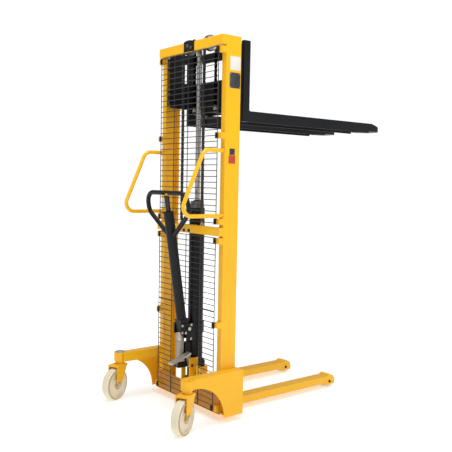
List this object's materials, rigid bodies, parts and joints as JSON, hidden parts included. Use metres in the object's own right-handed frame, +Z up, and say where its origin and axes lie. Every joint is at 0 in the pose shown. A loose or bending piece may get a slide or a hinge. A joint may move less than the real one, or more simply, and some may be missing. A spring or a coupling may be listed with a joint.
{
  "type": "hand pallet stacker",
  "caption": "Manual pallet stacker: a channel mast with a wire guard, a hydraulic lift by chains, forks on a roller carriage, outrigger legs and swivel casters.",
  "frame": {"origin": "on the floor, on the mid-plane, under the mast's operator-side face", "axes": "+Z up, +Y from the operator towards the fork tips, +X to the operator's right"},
  "size_m": [0.8253, 1.7247, 2.1155],
  "materials": {
    "yellow_paint": "gloss enamel",
    "black_paint": "satin enamel",
    "guard_wire": "powder coat",
    "chrome_steel": "polished",
    "plated_steel": "zinc plated",
    "chain_steel": "oiled",
    "cast_steel": "machined",
    "cream_nylon": "moulded",
    "black_plastic": "moulded"
  },
  "bodies": {
    "frame": {"left_upright": "yellow_paint", "right_upright": "yellow_paint", "top_beam": "yellow_paint", "top_saddle": "black_paint", "middle_beam": "yellow_paint", "lower_cross_plate": "yellow_paint", "base_crossbar": "yellow_paint", "base_plates": "yellow_paint", "left_arm": "yellow_paint", "right_arm": "yellow_paint", "left_kingpin_housing": "yellow_paint", "right_kingpin_housing": "yellow_paint", "left_leg": "yellow_paint", "right_leg": "yellow_paint", "cylinder_barrel": "black_paint", "cylinder_gland": "cast_steel", "anchor_chains": "chain_steel", "chain_anchors": "yellow_paint", "upper_guard": "guard_wire", "lower_guard": "guard_wire", "left_guard_strip": "guard_wire", "right_guard_strip": "guard_wire", "guard_lugs": "yellow_paint", "guard_clips": "black_paint", "left_grab_handle": "yellow_paint", "right_grab_handle": "yellow_paint", "pump_bracket": "yellow_paint", "pump_block": "black_paint", "pump_cylinder": "plated_steel", "pump_ears": "black_paint", "oil_reservoir": "yellow_paint", "filler_cap": "black_plastic"},
    "rod": {"piston_rod": "chrome_steel", "crosshead": "black_paint", "chain_wraps": "chain_steel"},
    "carriage": {"left_carriage_side": "black_paint", "right_carriage_side": "black_paint", "lower_plate": "black_paint", "upper_bar": "black_paint", "left_fork": "black_paint", "right_fork": "black_paint", "chain_hangers": "black_paint", "carriage_chains": "chain_steel"},
    "left_sheave": {"left_sheave": "cast_steel"},
    "right_sheave": {"right_sheave": "cast_steel"},
    "left_lower_roller": {"left_lower_roller": "cast_steel"},
    "left_upper_roller": {"left_upper_roller": "cast_steel"},
    "right_lower_roller": {"right_lower_roller": "cast_steel"},
    "right_upper_roller": {"right_upper_roller": "cast_steel"},
    "left_caster": {"left_caster_yoke": "yellow_paint"},
    "right_caster": {"right_caster_yoke": "yellow_paint"},
    "left_caster_wheel": {"left_caster_wheel": "cream_nylon"},
    "right_caster_wheel": {"right_caster_wheel": "cream_nylon"},
    "left_load_roller": {"left_load_roller": "cream_nylon"},
    "right_load_roller": {"right_load_roller": "cream_nylon"},
    "tiller": {"tiller_shaft": "black_paint", "tiller_loop": "black_paint"},
    "release_lever": {"release_lever": "black_paint"},
    "plunger": {"pump_plunger": "chrome_steel"},
    "pedal": {"foot_pedal": "plated_steel"}
  },
  "joints": [
    {"name": "fork_lift", "type": "slide", "parent": "frame", "child": "carriage", "axis": [0, 0, 1], "range_m": [-1.6, 0], "deforming": ["anchor_chains", "carriage_chains"]},
    {"name": "rod_slide", "type": "slide", "parent": "frame", "child": "rod", "axis": [0, 0, 1], "range_m": [-0.8, 0]},
    {"name": "left_sheave_spin", "type": "hinge", "parent": "rod", "child": "left_sheave", "pos_m": [-0.1, 0.046, 2.07], "axis": [1, 0, 0], "continuous": true},
    {"name": "left_lower_roller_spin", "type": "hinge", "parent": "carriage", "child": "left_lower_roller", "pos_m": [-0.283, 0.05, 1.792], "axis": [1, 0, 0], "continuous": true},
    {"name": "left_upper_roller_spin", "type": "hinge", "parent": "carriage", "child": "left_upper_roller", "pos_m": [-0.283, 0.05, 2.002], "axis": [1, 0, 0], "continuous": true},
    {"name": "left_caster_swivel", "type": "hinge", "parent": "frame", "child": "left_caster", "pos_m": [-0.35, -0.253, 0.25], "axis": [0, 0, 1], "continuous": true},
    {"name": "left_caster_roll", "type": "hinge", "parent": "left_caster", "child": "left_caster_wheel", "pos_m": [-0.33314, -0.29472, 0.094], "axis": [0.9272, 0.3746, 0], "continuous": true},
    {"name": "left_load_roll", "type": "hinge", "parent": "frame", "child": "left_load_roller", "pos_m": [-0.2035, 0.941, 0.04], "axis": [1, 0, 0], "continuous": true},
    {"name": "right_sheave_spin", "type": "hinge", "parent": "rod", "child": "right_sheave", "pos_m": [0.1, 0.046, 2.07], "axis": [1, 0, 0], "continuous": true},
    {"name": "right_lower_roller_spin", "type": "hinge", "parent": "carriage", "child": "right_lower_roller", "pos_m": [0.283, 0.05, 1.792], "axis": [1, 0, 0], "continuous": true},
    {"name": "right_upper_roller_spin", "type": "hinge", "parent": "carriage", "child": "right_upper_roller", "pos_m": [0.283, 0.05, 2.002], "axis": [1, 0, 0], "continuous": true},
    {"name": "right_caster_swivel", "type": "hinge", "parent": "frame", "child": "right_caster", "pos_m": [0.35, -0.253, 0.25], "axis": [0, 0, 1], "continuous": true},
    {"name": "right_caster_roll", "type": "hinge", "parent": "right_caster", "child": "right_caster_wheel", "pos_m": [0.37078, -0.29291, 0.094], "axis": [0.887, 0.4617, 0], "continuous": true},
    {"name": "right_load_roll", "type": "hinge", "parent": "frame", "child": "right_load_roller", "pos_m": [0.2035, 0.941, 0.04], "axis": [1, 0, 0], "continuous": true},
    {"name": "tiller_pump", "type": "hinge", "parent": "frame", "child": "tiller", "pos_m": [0, -0.024, 0.46], "axis": [1, 0, 0], "range_deg": [0, 50], "stiffness_Nm_per_rad": 25, "springref_deg": -34.38},
    {"name": "plunger_stroke", "type": "slide", "parent": "frame", "child": "plunger", "axis": [0, 0, 1], "range_m": [-0.038, 0]},
    {"name": "release_squeeze", "type": "hinge", "parent": "tiller", "child": "release_lever", "pos_m": [0, -0.14877, 1.11248], "axis": [1, 0, 0], "range_deg": [0, 12], "stiffness_Nm_per_rad": 0.8, "springref_deg": -17.19},
    {"name": "pedal_press", "type": "hinge", "parent": "frame", "child": "pedal", "pos_m": [0, -0.01, 0.247], "axis": [1, 0, 0], "range_deg": [0, 10], "stiffness_Nm_per_rad": 3, "springref_deg": -17.19}
  ],
  "couplings": [
    {"joint": "rod_slide", "follows": "fork_lift", "ratio": 0.5},
    {"joint": "left_sheave_spin", "follows": "fork_lift", "rad_per_m": 12.5},
    {"joint": "left_lower_roller_spin", "follows": "fork_lift", "rad_per_m": 22.989},
    {"joint": "left_upper_roller_spin", "follows": "fork_lift", "rad_per_m": -22.989},
    {"joint": "right_sheave_spin", "follows": "fork_lift", "rad_per_m": 12.5},
    {"joint": "right_lower_roller_spin", "follows": "fork_lift", "rad_per_m": 22.989},
    {"joint": "right_upper_roller_spin", "follows": "fork_lift", "rad_per_m": -22.989},
    {"joint": "plunger_stroke", "follows": "tiller_pump", "m_per_rad": -0.043}
  ]
}
